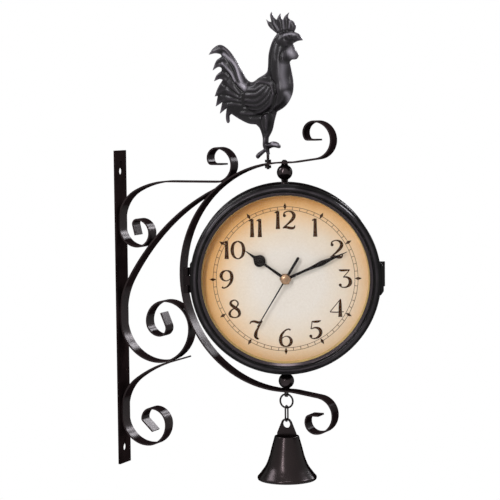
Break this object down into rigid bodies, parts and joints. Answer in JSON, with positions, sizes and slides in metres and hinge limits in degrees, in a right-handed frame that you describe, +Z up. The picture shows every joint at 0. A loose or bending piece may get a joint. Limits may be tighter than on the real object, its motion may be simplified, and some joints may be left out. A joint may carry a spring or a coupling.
{
  "type": "double-sided wall clock",
  "caption": "Round two-faced quartz clock that turns in a scrolled wrought-iron wall bracket, with a rooster on top and a hanging bell below",
  "frame": {"origin": "on the wall plane, midway between the round holes of the wall plate's two keyholes", "axes": "+X straight out of the wall, +Y along the wall, +Z up; seen from -Y the plate is on the left"},
  "size_m": [0.3061, 0.1424, 0.497],
  "materials": {
    "black_iron": "satin black-brown paint",
    "gloss_black": "gloss",
    "case_black": "semi-gloss",
    "cast_rooster": "satin charcoal paint",
    "bell_black": "semi-gloss",
    "dark_steel": "darkened",
    "clear_glass": "clear",
    "dial_sheet": "printed card",
    "movement_plastic": "matte",
    "stem_brass": "plain",
    "cell_can": "plain wrapped cell",
    "motor_iron": "plain",
    "wheel_plastic": "moulded",
    "hand_black": "satin"
  },
  "bodies": {
    "bracket": {"wall_plate": "black_iron", "hoop": "black_iron", "upper_scroll": "black_iron", "support_scroll": "black_iron", "lower_scroll": "black_iron", "top_bolt": "dark_steel", "bottom_eye_bolt": "dark_steel", "ball_spacers": "gloss_black", "pivot_nuts": "dark_steel", "rooster": "cast_rooster", "clamp_nuts": "dark_steel"},
    "case": {"drum": "case_black", "case_hinge_leaves": "case_black", "hinge_pins": "dark_steel", "latch_catches": "dark_steel"},
    "ring": {"hanging_ring": "dark_steel"},
    "chain_link": {"link": "dark_steel"},
    "bell_body": {"bell": "bell_black", "bell_eye": "bell_black"},
    "clapper_body": {"clapper": "dark_steel"},
    "front_door": {"front_bezel": "case_black", "front_hinge_leaf": "case_black", "front_glass": "clear_glass", "front_dial": "dial_sheet", "front_movement_case": "movement_plastic", "front_movement_cover": "movement_plastic", "front_stem_nut": "stem_brass", "front_battery": "cell_can", "front_battery_contacts": "dark_steel", "front_drive_unit": "motor_iron"},
    "front_seconds_arbor": {"front_seconds_wheel": "wheel_plastic", "front_second_hand": "hand_black"},
    "front_minute_arbor": {"front_minute_wheel": "wheel_plastic", "front_minute_hand": "hand_black"},
    "front_hour_arbor": {"front_hour_wheel": "wheel_plastic", "front_hour_hand": "hand_black"},
    "front_third_arbor": {"front_third_wheel": "wheel_plastic"},
    "front_motion_arbor": {"front_motion_wheel": "wheel_plastic"},
    "front_intermediate_arbor": {"front_intermediate_wheel": "wheel_plastic"},
    "front_rotor_arbor": {"front_rotor": "motor_iron"},
    "rear_door": {"rear_bezel": "case_black", "rear_hinge_leaf": "case_black", "rear_glass": "clear_glass", "rear_dial": "dial_sheet", "rear_movement_case": "movement_plastic", "rear_movement_cover": "movement_plastic", "rear_stem_nut": "stem_brass", "rear_battery": "cell_can", "rear_battery_contacts": "dark_steel", "rear_drive_unit": "motor_iron"},
    "rear_seconds_arbor": {"rear_seconds_wheel": "wheel_plastic", "rear_second_hand": "hand_black"},
    "rear_minute_arbor": {"rear_minute_wheel": "wheel_plastic", "rear_minute_hand": "hand_black"},
    "rear_hour_arbor": {"rear_hour_wheel": "wheel_plastic", "rear_hour_hand": "hand_black"},
    "rear_third_arbor": {"rear_third_wheel": "wheel_plastic"},
    "rear_motion_arbor": {"rear_motion_wheel": "wheel_plastic"},
    "rear_intermediate_arbor": {"rear_intermediate_wheel": "wheel_plastic"},
    "rear_rotor_arbor": {"rear_rotor": "motor_iron"}
  },
  "joints": [
    {"name": "clock_swivel", "type": "hinge", "parent": "bracket", "child": "case", "pos_m": [0.2, 0, 0.043], "axis": [0, 0, 1], "continuous": true},
    {"name": "front_door_hinge", "type": "hinge", "parent": "case", "child": "front_door", "pos_m": [0.11607, -0.0667, 0.043], "axis": [0, 0, -1], "range_deg": [0, 105]},
    {"name": "front_seconds_spin", "type": "hinge", "parent": "front_door", "child": "front_seconds_arbor", "pos_m": [0.2, 0, 0.043], "axis": [-0.4067, 0.9135, 0], "continuous": true},
    {"name": "front_minute_spin", "type": "hinge", "parent": "front_door", "child": "front_minute_arbor", "pos_m": [0.2, 0, 0.043], "axis": [-0.4067, 0.9135, 0], "continuous": true},
    {"name": "front_hour_spin", "type": "hinge", "parent": "front_door", "child": "front_hour_arbor", "pos_m": [0.2, 0, 0.043], "axis": [-0.4067, 0.9135, 0], "continuous": true},
    {"name": "front_third_spin", "type": "hinge", "parent": "front_door", "child": "front_third_arbor", "pos_m": [0.19073, -0.00413, 0.04669], "axis": [-0.4067, 0.9135, 0], "continuous": true},
    {"name": "front_motion_spin", "type": "hinge", "parent": "front_door", "child": "front_motion_arbor", "pos_m": [0.20965, 0.0043, 0.04392], "axis": [-0.4067, 0.9135, 0], "continuous": true},
    {"name": "front_intermediate_spin", "type": "hinge", "parent": "front_door", "child": "front_intermediate_arbor", "pos_m": [0.20255, 0.00114, 0.05343], "axis": [-0.4067, 0.9135, 0], "continuous": true},
    {"name": "front_rotor_spin", "type": "hinge", "parent": "front_door", "child": "front_rotor_arbor", "pos_m": [0.20975, 0.00434, 0.05798], "axis": [-0.4067, 0.9135, 0], "continuous": true},
    {"name": "rear_door_hinge", "type": "hinge", "parent": "case", "child": "rear_door", "pos_m": [0.28392, 0.0667, 0.043], "axis": [0, 0, -1], "range_deg": [0, 105]},
    {"name": "rear_seconds_spin", "type": "hinge", "parent": "rear_door", "child": "rear_seconds_arbor", "pos_m": [0.2, 0, 0.043], "axis": [0.4067, -0.9135, 0], "continuous": true},
    {"name": "rear_minute_spin", "type": "hinge", "parent": "rear_door", "child": "rear_minute_arbor", "pos_m": [0.2, 0, 0.043], "axis": [0.4067, -0.9135, 0], "continuous": true},
    {"name": "rear_hour_spin", "type": "hinge", "parent": "rear_door", "child": "rear_hour_arbor", "pos_m": [0.2, 0, 0.043], "axis": [0.4067, -0.9135, 0], "continuous": true},
    {"name": "rear_third_spin", "type": "hinge", "parent": "rear_door", "child": "rear_third_arbor", "pos_m": [0.20927, 0.00413, 0.04669], "axis": [0.4067, -0.9135, 0], "continuous": true},
    {"name": "rear_motion_spin", "type": "hinge", "parent": "rear_door", "child": "rear_motion_arbor", "pos_m": [0.19035, -0.0043, 0.04392], "axis": [0.4067, -0.9135, 0], "continuous": true},
    {"name": "rear_intermediate_spin", "type": "hinge", "parent": "rear_door", "child": "rear_intermediate_arbor", "pos_m": [0.19745, -0.00114, 0.05343], "axis": [0.4067, -0.9135, 0], "continuous": true},
    {"name": "rear_rotor_spin", "type": "hinge", "parent": "rear_door", "child": "rear_rotor_arbor", "pos_m": [0.19025, -0.00434, 0.05798], "axis": [0.4067, -0.9135, 0], "continuous": true},
    {"name": "ring_swing", "type": "hinge", "parent": "bracket", "child": "ring", "pos_m": [0.2, 0, -0.0826], "axis": [1, 0, 0], "range_deg": [-30, 30]},
    {"name": "link_swing", "type": "hinge", "parent": "ring", "child": "chain_link", "pos_m": [0.2, 0, -0.0982], "axis": [1, 0, 0], "range_deg": [-30, 30]},
    {"name": "bell_swing", "type": "hinge", "parent": "chain_link", "child": "bell_body", "pos_m": [0.2, 0, -0.11465], "axis": [0, 1, 0], "range_deg": [-30, 30]},
    {"name": "clapper_swing", "type": "hinge", "parent": "bell_body", "child": "clapper_body", "pos_m": [0.2, 0, -0.13205], "axis": [0, 1, 0], "range_deg": [-22, 22]}
  ],
  "couplings": [
    {"joint": "front_minute_spin", "follows": "front_seconds_spin", "ratio": 0.016667},
    {"joint": "front_hour_spin", "follows": "front_seconds_spin", "ratio": 0.0013889},
    {"joint": "front_third_spin", "follows": "front_seconds_spin", "ratio": -0.125},
    {"joint": "front_motion_spin", "follows": "front_seconds_spin", "ratio": -0.0055556},
    {"joint": "front_intermediate_spin", "follows": "front_seconds_spin", "ratio": -5},
    {"joint": "front_rotor_spin", "follows": "front_seconds_spin", "ratio": 30},
    {"joint": "rear_minute_spin", "follows": "rear_seconds_spin", "ratio": 0.016667},
    {"joint": "rear_hour_spin", "follows": "rear_seconds_spin", "ratio": 0.0013889},
    {"joint": "rear_third_spin", "follows": "rear_seconds_spin", "ratio": -0.125},
    {"joint": "rear_motion_spin", "follows": "rear_seconds_spin", "ratio": -0.0055556},
    {"joint": "rear_intermediate_spin", "follows": "rear_seconds_spin", "ratio": -5},
    {"joint": "rear_rotor_spin", "follows": "rear_seconds_spin", "ratio": 30}
  ]
}
